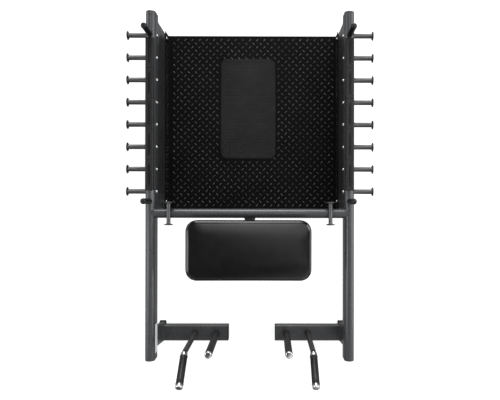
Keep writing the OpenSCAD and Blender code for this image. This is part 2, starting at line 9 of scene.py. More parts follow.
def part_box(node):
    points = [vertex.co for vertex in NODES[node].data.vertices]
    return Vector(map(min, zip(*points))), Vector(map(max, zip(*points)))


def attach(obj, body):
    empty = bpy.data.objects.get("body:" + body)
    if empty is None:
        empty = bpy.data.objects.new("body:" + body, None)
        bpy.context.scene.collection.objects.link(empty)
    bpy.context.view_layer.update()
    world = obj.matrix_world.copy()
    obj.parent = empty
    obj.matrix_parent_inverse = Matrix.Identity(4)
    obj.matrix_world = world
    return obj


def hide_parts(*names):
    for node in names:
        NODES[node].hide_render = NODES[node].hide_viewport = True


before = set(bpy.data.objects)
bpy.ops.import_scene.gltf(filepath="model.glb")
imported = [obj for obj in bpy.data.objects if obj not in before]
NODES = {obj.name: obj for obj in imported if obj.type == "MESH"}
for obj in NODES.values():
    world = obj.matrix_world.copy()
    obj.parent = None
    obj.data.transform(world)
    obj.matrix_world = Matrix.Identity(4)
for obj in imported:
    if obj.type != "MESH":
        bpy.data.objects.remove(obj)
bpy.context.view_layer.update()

SCENE = bpy.context.scene
X, Y, Z = Vector((1, 0, 0)), Vector((0, 1, 0)), Vector((0, 0, 1))


# ---------------------------------------------------------------- materials

class Paint:
    """A Principled material whose colour, roughness and relief come from patterns in object space."""

    def __init__(self, name, colour, rough, metallic=0.0, **sockets):
        self.mat = bpy.data.materials.new(name)
        self.mat.use_nodes = True
        self.tree = self.mat.node_tree
        self.tree.nodes.clear()
        self.out = self.node("OutputMaterial")
        self.bsdf = self.node("BsdfPrincipled")
        self.link(self.bsdf.outputs[0], self.out.inputs[0])
        self.coord = self.node("TexCoord").outputs["Object"]
        self.bsdf.inputs["Base Color"].default_value = (*colour, 1)
        self.bsdf.inputs["Roughness"].default_value = rough
        self.bsdf.inputs["Metallic"].default_value = metallic
        for key, value in sockets.items():
            self.bsdf.inputs[key.replace("_", " ")].default_value = value
        self.colour = colour

    def node(self, kind, **settings):
        n = self.tree.nodes.new("ShaderNode" + kind)
        for key, value in settings.items():
            setattr(n, key, value)
        return n

    def link(self, a, b):
        self.tree.links.new(a, b)

    def space(self, stretch):
        """Object coordinates, scaled by stretch along each axis."""
        if stretch is None:
            return self.coord
        m = self.node("Mapping")
        m.inputs["Scale"].default_value = stretch
        self.link(self.coord, m.inputs["Vector"])
        return m.outputs[0]

    def noise(self, scale, detail=3.0, rough=0.55, stretch=None, distortion=0.0):
        n = self.node("TexNoise")
        n.inputs["Scale"].default_value = scale
        n.inputs["Detail"].default_value = detail
        n.inputs["Roughness"].default_value = rough
        n.inputs["Distortion"].default_value = distortion
        self.link(self.space(stretch), n.inputs["Vector"])
        return n.outputs["Fac"]

    def cells(self, scale, feature="F1"):
        n = self.node("TexVoronoi", feature=feature)
        n.inputs["Scale"].default_value = scale
        self.link(self.coord, n.inputs["Vector"])
        return n.outputs["Distance"]

    def waves(self, scale, direction, distortion, detail):
        n = self.node("TexWave", bands_direction=direction)
        n.inputs["Scale"].default_value = scale
        n.inputs["Distortion"].default_value = distortion
        n.inputs["Detail"].default_value = detail
        self.link(self.coord, n.inputs["Vector"])
        return n.outputs["Fac"]

    def remap(self, value, lo, hi, a, b):
        """Takes lo..hi to a..b and holds it there beyond."""
        n = self.node("MapRange", clamp=True)
        for key, v in zip(("From Min", "From Max", "To Min", "To Max"), (lo, hi, a, b)):
            n.inputs[key].default_value = v
        self.link(value, n.inputs["Value"])
        return n.outputs[0]

    def times(self, a, b):
        n = self.node("Math", operation="MULTIPLY")
        self.link(a, n.inputs[0])
        if isinstance(b, float):
            n.inputs[1].default_value = b
        else:
            self.link(b, n.inputs[1])
        return n.outputs[0]

    def tint(self, value, colour):
        """Blends the colour so far towards another one where value is high."""
        n = self.node("Mix", data_type="RGBA")
        socket = self.bsdf.inputs["Base Color"]
        n.inputs["A"].default_value = (*self.colour, 1)
        if socket.is_linked:
            self.link(socket.links[0].from_socket, n.inputs["A"])
        n.inputs["B"].default_value = (*colour, 1)
        self.link(value, n.inputs["Factor"])
        self.link(n.outputs["Result"], socket)

    def shine(self, value, lo, hi):
        """Lets the roughness wander between lo and hi."""
        self.link(self.remap(value, 0.3, 0.7, lo, hi), self.bsdf.inputs["Roughness"])

    def relief(self, value, strength, depth):
        """Adds a bump, depth in metres, over the ones before it."""
        n = self.node("Bump")
        n.inputs["Strength"].default_value = strength
        n.inputs["Distance"].default_value = depth
        self.link(value, n.inputs["Height"])
        socket = self.bsdf.inputs["Normal"]
        if socket.is_linked:
            self.link(socket.links[0].from_socket, n.inputs["Normal"])
        self.link(n.outputs[0], socket)


def scuffs(p, colour, amount):
    """Fine light scratches, thin and sparse."""
    broad = p.noise(9, 2)
    fine = p.noise(60, 4, 0.7, stretch=(1, 8, 1), distortion=1.5)
    mask = p.times(p.remap(fine, 0.66, 0.72, 0.0, amount), p.remap(broad, 0.5, 0.62, 0.0, 1.0))
    p.tint(mask, colour)


def make_paints():
    """Each paint: base colour, slow changes of tone, fine marks, roughness, relief."""
    m = {}

    # Dark metallic powder coat, with its orange-peel surface
    p = Paint("frame_paint", (0.068, 0.070, 0.073), 0.28, 0.35)
    p.tint(p.remap(p.noise(5, 3), 0.35, 0.65, 0.0, 0.5), (0.056, 0.058, 0.061))
    p.tint(p.remap(p.cells(1400), 0.0, 0.28, 0.35, 0.0), (0.16, 0.165, 0.17))
    scuffs(p, (0.14, 0.14, 0.145), 0.5)
    p.shine(p.noise(14, 4), 0.25, 0.33)
    p.relief(p.noise(420, 2, 0.5), 0.06, 0.0005)
    m["frame_paint"] = p.mat

    # Near-black powder coat of the ribs, support arm, bracket, base rings and bent risers; the skirts are
    # given this dark colour as well
    p = Paint("black_paint", (0.020, 0.020, 0.021), 0.34, Specular_IOR_Level=0.45)
    p.tint(p.remap(p.noise(8, 3), 0.35, 0.65, 0.0, 0.6), (0.034, 0.034, 0.035))
    scuffs(p, (0.09, 0.09, 0.09), 0.5)
    p.shine(p.noise(20, 3), 0.30, 0.42)
    p.relief(p.noise(420, 2, 0.5), 0.12, 0.0006)
    m["black_paint"] = p.mat

    # Black tread plate between the lugs
    p = Paint("tread_plate", (0.0022, 0.0022, 0.0025), 0.46, Specular_IOR_Level=0.06)
    p.tint(p.remap(p.noise(6, 4), 0.35, 0.7, 0.0, 0.7), (0.0045, 0.0045, 0.005))
    scuffs(p, (0.03, 0.03, 0.03), 0.4)
    p.shine(p.noise(25, 4), 0.40, 0.54)
    p.relief(p.noise(260, 3, 0.6), 0.10, 0.0008)
    m["tread_plate"] = p.mat

    # Its lugs, whose paint is worn to a dark metal shine along their tops
    p = Paint("tread_lug", (0.010, 0.010, 0.0105), 0.24, 0.0, Specular_IOR_Level=0.7)
    worn = p.remap(p.noise(9, 4), 0.40, 0.68, 0.15, 0.9)
    p.tint(p.times(worn, 0.8), (0.22, 0.22, 0.225))
    p.link(p.times(worn, 0.8), p.bsdf.inputs["Metallic"])
    p.shine(p.noise(90, 3), 0.13, 0.22)
    p.relief(p.noise(700, 3, 0.6), 0.08, 0.0003)
    m["tread_lug"] = p.mat

    # Ribbed mat: dull rubber, a little dusty
    p = Paint("mat_rubber", (0.008, 0.008, 0.0082), 0.22, Specular_IOR_Level=0.12)
    p.tint(p.remap(p.noise(7, 4), 0.35, 0.7, 0.0, 0.7), (0.016, 0.016, 0.016))
    p.tint(p.remap(p.cells(900), 0.0, 0.25, 0.5, 0.0), (0.024, 0.024, 0.0237))
    p.shine(p.noise(30, 4), 0.19, 0.24)
    p.relief(p.noise(900, 4, 0.7), 0.05, 0.0003)
    m["mat_rubber"] = p.mat

    # Moulded rubber of grips, posts, buffers and feet
    p = Paint("rubber", (0.006, 0.006, 0.0065), 0.42, Specular_IOR_Level=0.35)
    p.tint(p.remap(p.noise(18, 4), 0.35, 0.7, 0.0, 0.7), (0.010, 0.010, 0.0105))
    p.shine(p.noise(50, 4), 0.34, 0.46)
    p.relief(p.noise(1100, 3, 0.65), 0.14, 0.0002)
    m["rubber"] = p.mat

    # Wear strips and end plugs of dark plastic, with fine grain along them
    p = Paint("black_plastic", (0.008, 0.008, 0.0083), 0.44, Specular_IOR_Level=0.32)
    p.tint(p.remap(p.noise(10, 4), 0.35, 0.7, 0.0, 0.7), (0.014, 0.014, 0.0143))
    p.tint(p.remap(p.noise(90, 3, 0.6, stretch=(6, 0.4, 6)), 0.55, 0.75, 0.0, 0.5), (0.03, 0.03, 0.03))
    p.shine(p.noise(30, 3), 0.36, 0.50)
    p.relief(p.noise(700, 3, 0.6, stretch=(1.6, 0.25, 1.6)), 0.18, 0.0003)
    m["black_plastic"] = p.mat

    # Bright chrome, faintly hazed and scratched
    p = Paint("chrome", (0.84, 0.845, 0.855), 0.13, 1.0)
    p.tint(p.remap(p.noise(30, 3), 0.4, 0.7, 0.0, 0.5), (0.72, 0.725, 0.735))
    p.shine(p.noise(240, 4, 0.65), 0.09, 0.20)
    p.relief(p.noise(1500, 2, 0.5), 0.03, 0.0002)
    m["chrome"] = p.mat

    # Turned pegs and anchors: chrome whose base colour is darkened to stand in for the dark reflections
    # round it (painted shade), with fine marks
    p = Paint("chrome_darkened_for_shade", (0.115, 0.116, 0.12), 0.42, 1.0)
    p.tint(p.remap(p.noise(40, 3), 0.4, 0.7, 0.0, 0.6), (0.095, 0.096, 0.10))
    p.shine(p.noise(300, 4, 0.6, stretch=(3, 1, 1)), 0.36, 0.48)
    p.relief(p.noise(1500, 2, 0.5, stretch=(3, 1, 1)), 0.04, 0.0002)
    m["chrome_darkened_for_shade"] = p.mat

    # Zinc-plated steel
    p = Paint("steel", (0.46, 0.465, 0.47), 0.30, 1.0)
    p.tint(p.remap(p.cells(260), 0.1, 0.7, 0.0, 0.6), (0.36, 0.365, 0.375))
    p.shine(p.noise(160, 4, 0.6), 0.24, 0.38)
    p.relief(p.noise(900, 3, 0.6), 0.08, 0.0002)
    m["steel"] = p.mat

    # Blackened socket screws
    p = Paint("black_screw", (0.012, 0.012, 0.0125), 0.40, 0.5)
    p.tint(p.remap(p.noise(400, 3), 0.4, 0.65, 0.0, 0.8), (0.03, 0.03, 0.031))
    p.shine(p.noise(500, 3), 0.28, 0.42)
    p.relief(p.noise(1600, 2), 0.10, 0.0002)
    m["black_screw"] = p.mat

    # Pale nylon bushes
    p = Paint("nylon", (0.72, 0.71, 0.68), 0.42, Subsurface_Weight=0.1)
    p.tint(p.remap(p.noise(120, 3), 0.4, 0.7, 0.0, 0.6), (0.62, 0.61, 0.57))
    p.shine(p.noise(200, 3), 0.36, 0.50)
    p.relief(p.noise(900, 3), 0.10, 0.0002)
    m["nylon"] = p.mat

    # Blank label plate: pale brushed sheet
    p = Paint("label", (0.90, 0.91, 0.92), 0.4)
    p.tint(p.remap(p.noise(240, 3, 0.6, stretch=(1, 0.05, 2)), 0.4, 0.7, 0.0, 0.8), (0.80, 0.81, 0.82))
    p.shine(p.noise(120, 3, stretch=(1, 0.1, 2)), 0.28, 0.46)
    p.relief(p.noise(900, 2, 0.5, stretch=(1, 0.06, 2)), 0.10, 0.0001)
    m["label"] = p.mat

    # Upholstery vinyl with a pebbled leather grain
    p = Paint("vinyl", (0.0045, 0.0045, 0.0048), 0.15, Specular_IOR_Level=0.6)
    p.tint(p.remap(p.noise(6, 4), 0.35, 0.7, 0.0, 0.6), (0.0075, 0.0075, 0.0078))
    p.tint(p.remap(p.cells(620, "DISTANCE_TO_EDGE"), 0.0, 0.12, 0.7, 0.0), (0.003, 0.003, 0.0032))
    p.shine(p.noise(22, 4), 0.12, 0.18)
    p.relief(p.noise(150, 3, 0.6), 0.02, 0.0003)
    p.relief(p.cells(620, "DISTANCE_TO_EDGE"), 0.06, 0.0002)
    m["vinyl"] = p.mat

    # Birch plywood board: grain on its faces, plies at its edge
    p = Paint("plywood", (0.42, 0.29, 0.17), 0.6)
    p.tint(p.remap(p.noise(26, 5, 0.6, stretch=(0.25, 4, 1)), 0.35, 0.7, 0.0, 0.8), (0.30, 0.19, 0.10))
    p.tint(p.remap(p.waves(105, "Z", 1.2, 1.0), 0.45, 0.6, 0.0, 0.55), (0.24, 0.15, 0.08))
    p.shine(p.noise(60, 3), 0.52, 0.68)
    p.relief(p.noise(180, 4, 0.6, stretch=(0.3, 4, 1)), 0.25, 0.0004)
    m["plywood"] = p.mat
    return m


PAINTS = make_paints()


# ---------------------------------------------------------------- mesh tools

def fillet(points, radii, steps=4):
    """A 2D outline with its inner corners rounded to the given radii."""
    out = []
    for i, (p, r) in enumerate(zip(points, radii)):
        p = Vector(p)
        if r <= 0 or i in (0, len(points) - 1):
            out.append(tuple(p))
            continue
        u = (Vector(points[i - 1]) - p).normalized()
        v = (Vector(points[i + 1]) - p).normalized()
        half = u.angle(v) / 2
        start, end = p + u * (r / math.tan(half)), p + v * (r / math.tan(half))
        centre = p + (u + v).normalized() * (r / math.sin(half))
        a, b = start - centre, end - centre
        a0, a1 = math.atan2(a.y, a.x), math.atan2(b.y, b.x)
        turn = (a1 - a0 + math.pi) % (2 * math.pi) - math.pi
        for k in range(steps + 1):
            t = a0 + turn * k / steps
            out.append((centre.x + r * math.cos(t), centre.y + r * math.sin(t)))
    return out


def round_rect(w, d, r, steps=8):
    """Corner-rounded rectangle about the origin, counter-clockwise."""
    pts = []
    for k, (sx, sy) in enumerate(((1, 1), (-1, 1), (-1, -1), (1, -1))):
        for i in range(steps + 1):
            a = math.pi / 2 * (k + i / steps)
            pts.append((sx * (w / 2 - r) + r * math.cos(a), sy * (d / 2 - r) + r * math.sin(a)))
    return pts


def along(axis, origin):
    """A frame whose Z runs along axis, at origin."""
    return Matrix.Translation(origin) @ Vector(axis).to_track_quat("Z", "Y").to_matrix().to_4x4()


class Shape:
    """Points and faces of one piece, gathered from several bodies."""

    def __init__(self):
        self.points = []
        self.faces = []

    def add(self, points, faces, place=None):
        base = len(self.points)
        self.points.extend(place @ Vector(p) if place else Vector(p) for p in points)
        self.faces.extend(tuple(i + base for i in f) for f in faces)

    def loft(self, rings, place=None, caps=(True, True), loop=False):
        """Joins rings of equally many points, closed by caps or, with loop, back onto the first ring."""
        n = len(rings[0])
        faces = []
        count = len(rings)
        for k in range(count if loop else count - 1):
            a, b = k * n, (k + 1) % count * n
            for i in range(n):
                j = (i + 1) % n
                faces.append((a + i, a + j, b + j, b + i))
        if not loop and caps[0]:
            faces.append(tuple(reversed(range(n))))
        if not loop and caps[1]:
            faces.append(tuple(range((count - 1) * n, count * n)))
        self.add([p for ring in rings for p in ring], faces, place)

    def lathe(self, profile, place, segs=32):
        """profile: (radius, height) or (half the width across flats, height, 'hex')."""
        rings = []
        for row in profile:
            ring = []
            for i in range(segs):
                a = 2 * math.pi * i / segs
                r = row[0]
                if len(row) > 2:
                    sixth = math.pi / 3
                    r /= math.cos(a % sixth - sixth / 2)
                ring.append((r * math.cos(a), r * math.sin(a), row[1]))
            rings.append(ring)
        self.loft(rings, place)

    def sweep(self, path, radius, segs=12, closed=False):
        """A tube along path; radius is a number or one for each point."""
        path = [Vector(p) for p in path]
        n = len(path)
        radii = radius if isinstance(radius, (list, tuple)) else [radius] * n
        side = None
        rings = []
        for i, p in enumerate(path):
            before = path[i - 1] if i or closed else p
            after = path[(i + 1) % n] if i < n - 1 or closed else p
            t = (after - before).normalized()
            if side is None:
                side = t.orthogonal().normalized()
            side = (side - t * side.dot(t)).normalized()
            up = t.cross(side)
            rings.append([
                p + (side * math.cos(a) + up * math.sin(a)) * radii[i]
                for a in (2 * math.pi * k / segs for k in range(segs))
            ])
        self.loft(rings, loop=closed)

    def piece(self, name, paint, body="frame", stands_for=(), crease=38):
        """Makes the object, smooth except where it folds by more than crease degrees."""
        mesh = bpy.data.meshes.new(name)
        mesh.from_pydata([tuple(p) for p in self.points], [], self.faces)
        bm = bmesh.new()
        bm.from_mesh(mesh)
        bmesh.ops.recalc_face_normals(bm, faces=bm.faces)
        bm.to_mesh(mesh)
        bm.free()
        mesh.shade_smooth()
        mesh.set_sharp_from_angle(angle=math.radians(crease))
        return place_piece(mesh, name, paint, body, stands_for)


def place_piece(mesh, name, paint, body, stands_for=()):
    mesh.materials.clear()
    mesh.materials.append(PAINTS[paint])
    obj = bpy.data.objects.new(name, mesh)
    SCENE.collection.objects.link(obj)
    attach(obj, body)
    if stands_for:
        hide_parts(*stands_for)
    return obj


def solids(node):
    """(lowest, highest) corner of each separate solid of a CAD node, front to back, then left to right."""
    mesh = NODES[node].data
    co = np.array([v.co for v in mesh.vertices])
    keys = {}
    weld = [keys.setdefault(tuple(k), i) for i, k in enumerate(np.round(co * 1e5).astype(int))]
    root = list(range(len(co)))

    def find(i):
        while root[i] != i:
            root[i] = root[root[i]]
            i = root[i]
        return i

    for f in mesh.polygons:
        ids = [find(weld[i]) for i in f.vertices]
        for i in ids[1:]:
            root[find(i)] = find(ids[0])
    groups = {}
    for i in range(len(co)):
        groups.setdefault(find(weld[i]), []).append(i)
    boxes = [(Vector(co[g].min(0)), Vector(co[g].max(0))) for g in groups.values()]
    return sorted(boxes, key=lambda b: (-round(b[1].y, 4), round(b[0].x, 4)))


def middle(box):
    """Centre of a (lowest, highest) pair of corners."""
    return (box[0] + box[1]) / 2


# ---------------------------------------------------------------- CAD nodes that stay

KEPT = {
    "frame_paint": (
        "left_rail", "right_rail", "rail_end_caps", "left_front_leg", "right_front_leg",
        "left_mid_leg", "right_mid_leg", "left_rear_leg", "right_rear_leg",
        "crossbar", "left_foot_beam", "right_foot_beam"),
    "black_paint": (
        "left_skirt", "right_skirt", "platform_ribs", "handle_base_rings",
        "pad_support_arm", "pivot_sleeve", "pad_bracket"),
    "tread_plate": ("platform",),
    "chrome": ("left_inner_handle", "right_inner_handle", "grip_collars"),
    "steel": ("post_cores", "pivot_pin", "pin_clips"),
    "rubber": ("platform_pads", "pad_buffers", "rubber_feet"),
    "black_plastic": ("left_rail_strips", "right_rail_strips", "beam_end_caps"),
    "nylon": ("pivot_bushes",),
    "label": ("label_plate",),
    "plywood": ("pad_board",),
}

# Width in metres that each kept node's sharp edges are rounded by
EASED = {
    "rail_end_caps": 0.0022, "left_front_leg": 0.0012, "right_front_leg": 0.0012,
    "left_mid_leg": 0.0010, "right_mid_leg": 0.0010, "left_rear_leg": 0.0016, "right_rear_leg": 0.0016,
    "left_skirt": 0.0006, "right_skirt": 0.0006, "platform": 0.0010, "platform_ribs": 0.0015,
    "pad_support_arm": 0.0012, "pivot_sleeve": 0.0008, "pad_bracket": 0.0009,
    "handle_base_rings": 0.0014, "grip_collars": 0.0008, "pivot_pin": 0.0010, "pin_clips": 0.0005,
    "platform_pads": 0.0010, "pad_buffers": 0.0020, "rubber_feet": 0.0018,
    "left_rail_strips": 0.0012, "right_rail_strips": 0.0012, "beam_end_caps": 0.0016,
    "pivot_bushes": 0.0005, "label_plate": 0.0003, "pad_board": 0.0012,
}
# Folds sharper than this are the ones eased
EASED_ANGLE = math.radians(34)


def finish_kept_nodes():
    """Paints the CAD nodes that are seen as they are, and eases their edges with modifiers."""
    for paint, names in KEPT.items():
        for name in names:
            obj = NODES[name]
            for s in obj.material_slots:
                s.material = PAINTS[paint]
            if name in EASED:
                weld = obj.modifiers.new("weld", "WELD")
                weld.merge_threshold = 0.00001
                bevel = obj.modifiers.new("ease", "BEVEL")
                bevel.width = EASED[name]
                bevel.segments = 2
                bevel.limit_method = "ANGLE"
                bevel.angle_limit = EASED_ANGLE
                bevel.use_clamp_overlap = False
                even = obj.modifiers.new("even", "WEIGHTED_NORMAL")
                even.keep_sharp = False


# ---------------------------------------------------------------- tread plate and mat

MAT_CORNER = 0.035
PLATE_T = 0.004
LUG_PITCH = 0.0412
LUG_HALF = (0.0094, 0.0027)
LUG_HEIGHT = 0.0017
# Distance of the first row from the front edge, and sideways shift of the middle column
LUG_FIRST_Y = 0.0235
LUG_MID_X = -0.014
# Clear strips along the rear edge, along the turned-up sides and round the mat
LUG_END_GAP = 0.014
LUG_SIDE_GAP = 0.017
LUG_MAT_GAP = 0.006
# Heights of the lugs on the turned-up sides, for the two directions of lug
LUG_SIDE_Z = ((0.046, 0.0872), (0.0666,))
# Side lugs above BOLT_Z keep BOLT_GAP away from the platform bolts
BOLT_Z = 0.06
BOLT_GAP = 0.022
# (length scale, width scale, height scale) of the rings of one lug
LUG_RINGS = ((1.0, 1.0, -0.3), (0.90, 0.78, 0.5), (0.70, 0.44, 0.90), (0.40, 0.12, 1.0))


def lug_rings():
    """A low almond-shaped ridge along X."""
    rings = []
    for sl, sw, sh in LUG_RINGS:
        ring = []
        for k in range(12):
            a = 2 * math.pi * k / 12
            across = math.sin(a) * abs(math.sin(a)) ** 0.35
            ring.append((LUG_HALF[0] * sl * math.cos(a), LUG_HALF[1] * sw * across, LUG_HEIGHT * sh))
        rings.append(ring)
    return rings


def build_lugs():
    """Two crossed sets of lugs on the plate, clear of the mat, and on its turned-up sides."""
    lo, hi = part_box("platform")
    mat_lo, mat_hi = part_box("tread_mat")
    top = mat_lo.z
    mat_mid, mat_half = (mat_lo + mat_hi) / 2, (mat_hi - mat_lo) / 2
    bolts = [middle(b) for b in solids("platform_bolts")]
    inner = hi.x - PLATE_T
    rings = lug_rings()
    s = Shape()
    for half in (0, 1):
        turn = Matrix.Rotation(math.radians(45 if half == 0 else -45), 4, "Z")
        rows = int((hi.y - lo.y - 0.02) / LUG_PITCH)
        for j in range(rows + 1):
            y = hi.y - LUG_FIRST_Y - LUG_PITCH * (j + 0.5 * half)
            if y < lo.y + LUG_END_GAP:
                continue
            for i in range(-13, 14):
                x = LUG_MID_X + LUG_PITCH * (i + 0.5 * half)
                if abs(x) > inner - LUG_SIDE_GAP:
                    continue
                past_x = max(abs(x - mat_mid.x) - (mat_half.x - MAT_CORNER), 0)
                past_y = max(abs(y - mat_mid.y) - (mat_half.y - MAT_CORNER), 0)
                if math.hypot(past_x, past_y) < MAT_CORNER + LUG_MAT_GAP:
                    continue
                s.loft(rings, Matrix.Translation((x, y, top)) @ turn, caps=(False, True))
            for side in (-1, 1):
                upright = Matrix.Rotation(-side * math.pi / 2, 4, "Y")
                for z in LUG_SIDE_Z[half]:
                    if z > BOLT_Z and any(abs(b.y - y) < BOLT_GAP for b in bolts):
                        continue
                    face = Matrix.Translation((side * inner, y, z)) @ upright
                    s.loft(rings, face @ turn, caps=(False, True))
    s.piece("tread_lugs", "tread_lug", crease=60)


MAT_MARGIN = 0.009
RIB_PITCH = 0.00485
RIB_HEIGHT = 0.0012
GROOVE, WIDE_GROOVE = 0.0003, 0.0016


def build_mat():
    lo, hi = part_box("tread_mat")
    centre = (lo + hi) / 2
    w, d, r = hi.x - lo.x, hi.y - lo.y, MAT_CORNER
    base_z = hi.z - RIB_HEIGHT
    s = Shape()
    # Base with a rolled edge
    rings = []
    for inset, z in fillet([(0.0, lo.z + 0.0002), (0.0, base_z), (MAT_MARGIN, base_z)], [0, 0.0018, 0], 4):
        rings.append([(x, y, z) for x, y in round_rect(w - 2 * inset, d - 2 * inset, r - inset, 12)])
    s.loft(rings, Matrix.Translation((centre.x, centre.y, 0)))
    # Ribs across the field, every fourth groove wider than the others
    field_w, field_d, field_r = w - 2 * MAT_MARGIN, d - 2 * MAT_MARGIN, r - MAT_MARGIN
    n = round(field_d / RIB_PITCH)
    pitch = field_d / n
    for k in range(n):
        y0 = -field_d / 2 + k * pitch + (WIDE_GROOVE if k % 4 == 0 else GROOVE)
        y1 = -field_d / 2 + (k + 1) * pitch - GROOVE
        prof = [(y0, -RIB_HEIGHT), (y0 + 0.0003, -0.0002), (y0 + 0.0009, 0.0), (y1 - 0.0009, 0.0),
                (y1 - 0.0003, -0.0002), (y1, -RIB_HEIGHT)]
        ring_l, ring_r = [], []
        for y, z in prof:
            past = max(abs(y) - (field_d / 2 - field_r), 0.0)
            half = field_w / 2 - field_r + math.sqrt(max(field_r ** 2 - past ** 2, 0.0))
            ring_l.append((centre.x - half - z, centre.y + y, hi.z + z))
            ring_r.append((centre.x + half + z, centre.y + y, hi.z + z))
        s.loft([ring_l, ring_r])
    s.piece("ribbed_mat", "mat_rubber", stands_for=("tread_mat",), crease=60)


# ---------------------------------------------------------------- turned and moulded parts

PEG_R = 0.012
AXIS_R = 0.0002  # radius of the small hole that closes a lathed end


def build_pegs():
    """Pegs with a collar at the rail and a dished flange at the end."""
    for name, side in (("left", -1), ("right", 1)):
        node = f"{name}_band_pegs"
        s = Shape()
        for lo, hi in solids(node):
            c = (lo + hi) / 2
            length = hi.x - lo.x
            root = Vector((lo.x if side > 0 else hi.x, c.y, c.z))
            flange = (hi.z - lo.z) / 2
            prof = fillet([
                (AXIS_R, 0), (PEG_R + 0.0035, 0), (PEG_R + 0.0035, 0.004), (PEG_R, 0.0055),
                (PEG_R, length - 0.006), (flange, length - 0.005), (flange, length),
                (flange - 0.007, length), (flange - 0.009, length - 0.0012), (AXIS_R, length - 0.0012)],
                [0, 0.001, 0.001, 0.0012, 0.0035, 0.0016, 0.0022, 0.001, 0.001, 0], 4)
            s.lathe(prof, along(X * side, root), 40)
        # Painted with chrome darkened for painted shade
        s.piece(f"{name}_turned_pegs", "chrome_darkened_for_shade", stands_for=(node,))


def button_head(s, place, r, t, flats, shank, shank_len, washer):
    """A domed head with a hexagonal socket and a washer: height runs out of the part from the seat at 0."""
    prof = [(AXIS_R, -shank_len), (shank - 0.0006, -shank_len), (shank, -shank_len + 0.0008), (shank, 0.0)]
    prof += [(r, 0.0), (r, washer)]
    r -= 0.0012
    steps = 6
    inner = flats / 2 + 0.0012
    for k in range(steps + 1):
        a = math.pi / 2 * k / steps
        low = washer + 0.0006
        prof.append((inner + (r - inner) * math.cos(a), low + (t - low) * math.sin(a)))
    prof += [(flats / 2 + 0.0003, t, "hex"), (flats / 2, t - 0.0004, "hex"), (flats / 2, t * 0.35, "hex"),
             (AXIS_R, t * 0.22)]
    s.lathe(prof, place, 36)


HEAD_T = 0.005
BOLT_FLATS, BOLT_SHANK_R, BOLT_WASHER = 0.006, 0.0049, 0.0014
PAD_SCREW_FLATS, PAD_SCREW_SHANK_R, PAD_SCREW_WASHER = 0.005, 0.0039, 0.0012


def build_bolts():
    for node, name in (("peg_bolts", "peg_socket_bolts"), ("platform_bolts", "platform_socket_bolts")):
        s = Shape()
        for lo, hi in solids(node):
            c = (lo + hi) / 2
            side = 1 if c.x > 0 else -1
            seat = (lo.x + HEAD_T) if side > 0 else (hi.x - HEAD_T)
            place = along(X * -side, Vector((seat, c.y, c.z)))
            button_head(s, place, (hi.z - lo.z) / 2, HEAD_T, BOLT_FLATS,
                        BOLT_SHANK_R, hi.x - lo.x - HEAD_T, BOLT_WASHER)
        s.piece(name, "chrome", stands_for=(node,), crease=30)

    s = Shape()
    for lo, hi in solids("strip_screws"):
        c = (lo + hi) / 2
        r = (hi.x - lo.x) / 2
        prof = [(AXIS_R, lo.z), (0.0018, lo.z), (0.0019, hi.z - 0.003), (r, hi.z - 0.0006), (r, hi.z),
                (0.0019, hi.z, "hex"), (0.0017, hi.z - 0.0002, "hex"), (0.0017, hi.z - 0.0022, "hex"),
                (AXIS_R, hi.z - 0.0025)]
        s.lathe(prof, Matrix.Translation((c.x, c.y, 0)), 24)
    s.piece("strip_socket_screws", "black_screw", stands_for=("strip_screws",), crease=30)

    s = Shape()
    for lo, hi in solids("pad_screws"):
        c = (lo + hi) / 2
        place = along(-Z, Vector((c.x, c.y, lo.z + HEAD_T)))
        button_head(s, place, (hi.x - lo.x) / 2, HEAD_T, PAD_SCREW_FLATS,
                    PAD_SCREW_SHANK_R, hi.z - lo.z - HEAD_T, PAD_SCREW_WASHER)
    s.piece("pad_socket_screws", "steel", body="back_pad", stands_for=("pad_screws",), crease=30)


def build_posts():
    """Rubber sleeves with a lip at the rail, a shallow neck and a domed top."""
    s = Shape()
    for lo, hi in solids("post_sleeves"):
        c = (lo + hi) / 2
        r = (hi.x - lo.x) / 2
        low = lo.z - 0.0005
        prof = fillet([
            (AXIS_R, low), (r - 0.0006, low), (r - 0.0006, lo.z + 0.012), (r, lo.z + 0.013),
            (r, lo.z + 0.018), (r - 0.0008, lo.z + 0.019), (r - 0.0008, hi.z - 0.018),
            (r, hi.z - 0.016), (r, hi.z), (AXIS_R, hi.z)],
            [0, 0, 0.001, 0.001, 0.001, 0.001, 0.001, 0.001, 0.0105, 0], 6)
        s.lathe(prof, Matrix.Translation((c.x, c.y, 0)), 40)
    s.piece("moulded_post_sleeves", "rubber", stands_for=("post_sleeves",))


ANCHOR_R, ANCHOR_FLANGE_T = 0.010, 0.005


def build_anchors():
    for name in ("left", "right"):
        node = f"{name}_band_anchor"
        lo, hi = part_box(node)
        c = (lo + hi) / 2
        flange, rod, t = (hi.x - lo.x) / 2, ANCHOR_R, ANCHOR_FLANGE_T
        length = hi.y - lo.y
        prof = fillet([
            (AXIS_R, 0), (flange - 0.004, 0), (flange, 0.002), (flange, t), (rod, t + 0.002),
            (rod, length - t - 0.002), (flange, length - t), (flange, length - 0.002),
            (flange - 0.004, length), (AXIS_R, length)],
            [0, 0.002, 0.0012, 0.001, 0.003, 0.003, 0.001, 0.0012, 0.002, 0], 4)
        s = Shape()
        s.lathe(prof, along(Y, Vector((c.x, lo.y, c.z))), 40)
        # Painted with chrome darkened for painted shade
        s.piece(f"{name}_turned_anchor", "chrome_darkened_for_shade", stands_for=(node,))


BAR_R = 0.0135
BAR_HOLE = BAR_R + 0.0002
GRIP_R = 0.0194
CAP_R, CAP_LENGTH = 0.0175, 0.020
CAP_OVERLAP = 0.010
COLLAR_HALF = 0.008
COLLAR_TO_BEND = 0.013
BEND_REACH = 0.026
RING_INSETS = (0.009, 0.013, 0.017)


